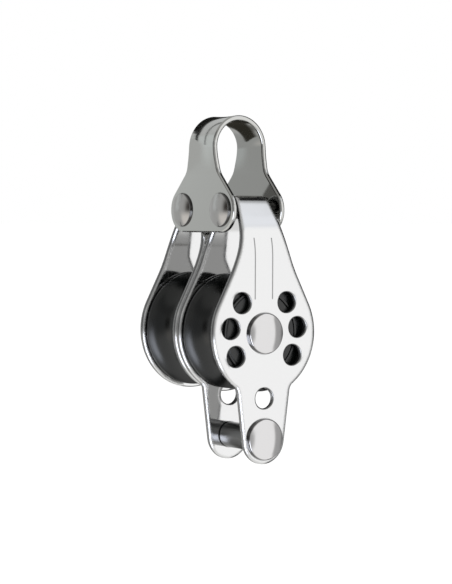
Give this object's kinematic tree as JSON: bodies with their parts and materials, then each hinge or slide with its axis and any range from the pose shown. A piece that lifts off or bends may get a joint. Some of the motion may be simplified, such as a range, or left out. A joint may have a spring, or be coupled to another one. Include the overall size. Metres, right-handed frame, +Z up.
{
  "type": "double sailing block",
  "caption": "Double sailing block with becket: grooved sheaves on ball bearings, in folded steel straps that hang side by side from a folded head loop.",
  "frame": {"origin": "centre of the round top of the head loop, where a shackle pin or a lashing bears", "axes": "+Z up, from the becket to the head loop; Y along the sheave axle, with the becket strap at -Y; X across the straps, along the head rivets"},
  "size_m": [0.0234, 0.0276, 0.0657],
  "materials": {
    "loop_steel": "tumbled stainless sheet, satin",
    "strap_steel": "polished stainless sheet",
    "rivet_steel": "polished stainless, turned and peened",
    "spacer_steel": "turned stainless tube, unpolished",
    "sheave_plastic": "turned black acetal, satin",
    "ball_plastic": "natural acetal balls"
  },
  "bodies": {
    "frame": {"head_loop": "loop_steel", "front_strap": "strap_steel", "rear_strap": "strap_steel", "front_head_rivet": "rivet_steel", "rear_head_rivet": "rivet_steel", "axle_rivet": "rivet_steel", "strap_washer": "rivet_steel", "becket_rivet": "rivet_steel", "becket_spacer": "spacer_steel", "front_race": "rivet_steel", "rear_race": "rivet_steel"},
    "front_sheave_assembly": {"front_sheave": "sheave_plastic", "front_outer_ring": "sheave_plastic", "front_inner_ring": "sheave_plastic"},
    "front_balls": {"front_outer_balls": "ball_plastic", "front_inner_balls": "ball_plastic"},
    "rear_sheave_assembly": {"rear_sheave": "sheave_plastic", "rear_outer_ring": "sheave_plastic", "rear_inner_ring": "sheave_plastic"},
    "rear_balls": {"rear_outer_balls": "ball_plastic", "rear_inner_balls": "ball_plastic"}
  },
  "joints": [
    {"name": "front_sheave_spin", "type": "hinge", "parent": "frame", "child": "front_sheave_assembly", "pos_m": [0, -0.00645, -0.035], "axis": [0, 1, 0], "continuous": true},
    {"name": "rear_sheave_spin", "type": "hinge", "parent": "frame", "child": "rear_sheave_assembly", "pos_m": [0, 0.00645, -0.035], "axis": [0, 1, 0], "continuous": true},
    {"name": "front_balls_orbit", "type": "hinge", "parent": "frame", "child": "front_balls", "pos_m": [0, -0.00645, -0.035], "axis": [0, 1, 0], "continuous": true},
    {"name": "rear_balls_orbit", "type": "hinge", "parent": "frame", "child": "rear_balls", "pos_m": [0, 0.00645, -0.035], "axis": [0, 1, 0], "continuous": true}
  ],
  "couplings": [
    {"joint": "front_balls_orbit", "follows": "front_sheave_spin", "ratio": 0.638},
    {"joint": "rear_balls_orbit", "follows": "rear_sheave_spin", "ratio": 0.638}
  ]
}
